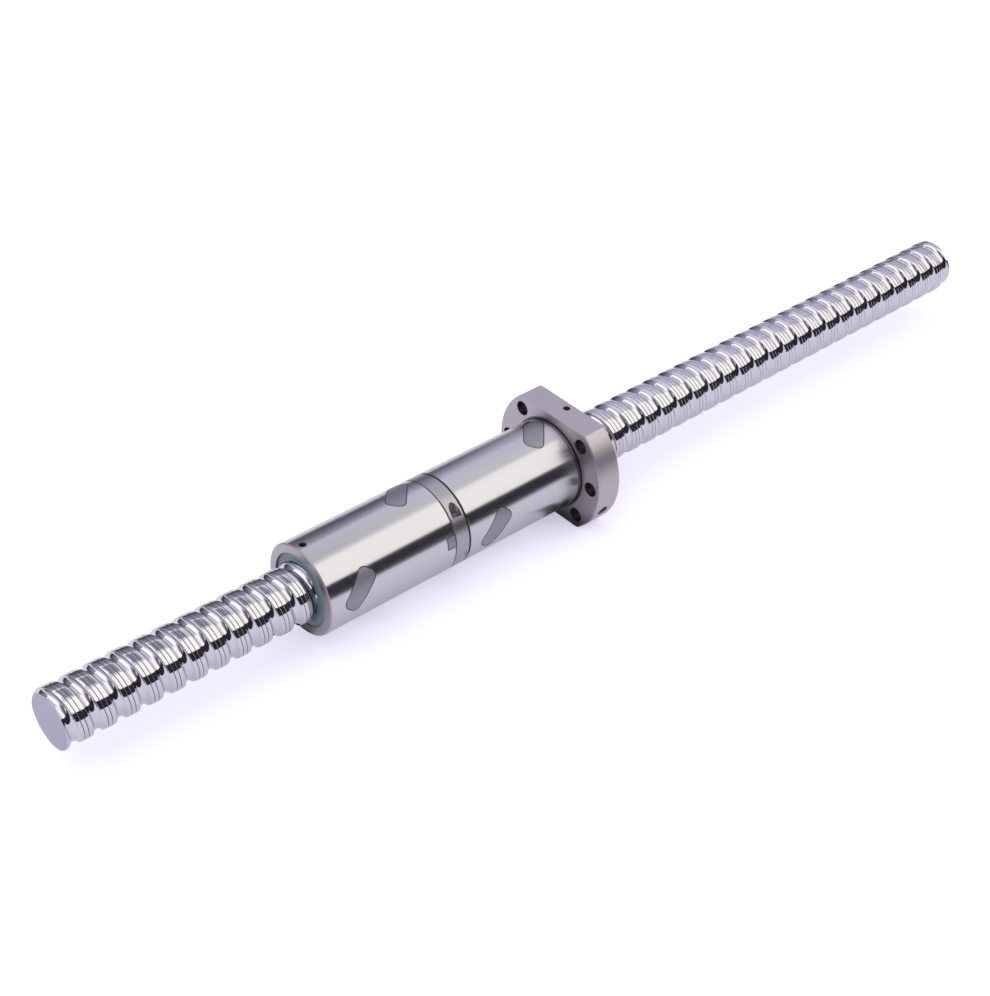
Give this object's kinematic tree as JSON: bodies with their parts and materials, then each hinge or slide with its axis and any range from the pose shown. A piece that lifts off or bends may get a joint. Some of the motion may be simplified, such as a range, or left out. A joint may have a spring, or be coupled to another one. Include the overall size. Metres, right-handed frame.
{
  "type": "ball screw",
  "caption": "Right-hand ball screw with a preloaded double nut: a plain nut and a flanged nut, clamped across a spacer ring, that turn rotation into travel.",
  "frame": {"origin": "on the screw's axis, in the plane of the flange's seat face, which is the centre of the bolt circle", "axes": "+X along the screw from the plain nut to the flange and beyond, +Z out of the flange's upper flat"},
  "size_m": [0.5052, 0.062, 0.048],
  "materials": {
    "screw_steel": "ground and polished",
    "nut_steel": "fine ground",
    "ring_steel": "satin turned",
    "key_steel": "rough ground",
    "cap_steel": "matte sintered",
    "wiper_plastic": "moulded",
    "grub_steel": "black oxide",
    "ball_steel": "polished"
  },
  "bodies": {
    "nut": {"flange_nut": "nut_steel", "plain_nut": "nut_steel", "spacer_ring": "ring_steel", "plain_nut_key": "key_steel", "flange_nut_key": "key_steel", "plain_nut_cap_1": "cap_steel", "plain_nut_cap_2": "cap_steel", "plain_nut_cap_3": "cap_steel", "plain_nut_cap_4": "cap_steel", "flange_nut_cap_1": "cap_steel", "flange_nut_cap_2": "cap_steel", "flange_nut_cap_3": "cap_steel", "flange_nut_cap_4": "cap_steel", "front_wiper": "wiper_plastic", "rear_wiper": "wiper_plastic", "front_wiper_screw": "grub_steel", "rear_wiper_screw": "grub_steel"},
    "balls": {"ball_circuit_1": "ball_steel", "ball_circuit_2": "ball_steel", "ball_circuit_3": "ball_steel", "ball_circuit_4": "ball_steel", "ball_circuit_5": "ball_steel", "ball_circuit_6": "ball_steel", "ball_circuit_7": "ball_steel", "ball_circuit_8": "ball_steel"},
    "screw": {"screw_shaft": "screw_steel"}
  },
  "joints": [
    {"name": "screw_turn", "type": "hinge", "parent": "nut", "child": "balls", "pos_m": [0, 0, 0], "axis": [1, 0, 0], "range_deg": [-8640, 3960], "deforming": ["ball_circuit_1", "ball_circuit_2", "ball_circuit_3", "ball_circuit_4", "ball_circuit_5", "ball_circuit_6", "ball_circuit_7", "ball_circuit_8"]},
    {"name": "screw_travel", "type": "slide", "parent": "balls", "child": "screw", "axis": [1, 0, 0], "range_m": [-0.2402, 0.1102]}
  ],
  "couplings": [
    {"joint": "screw_travel", "follows": "screw_turn", "m_per_rad": 0.0015915}
  ]
}
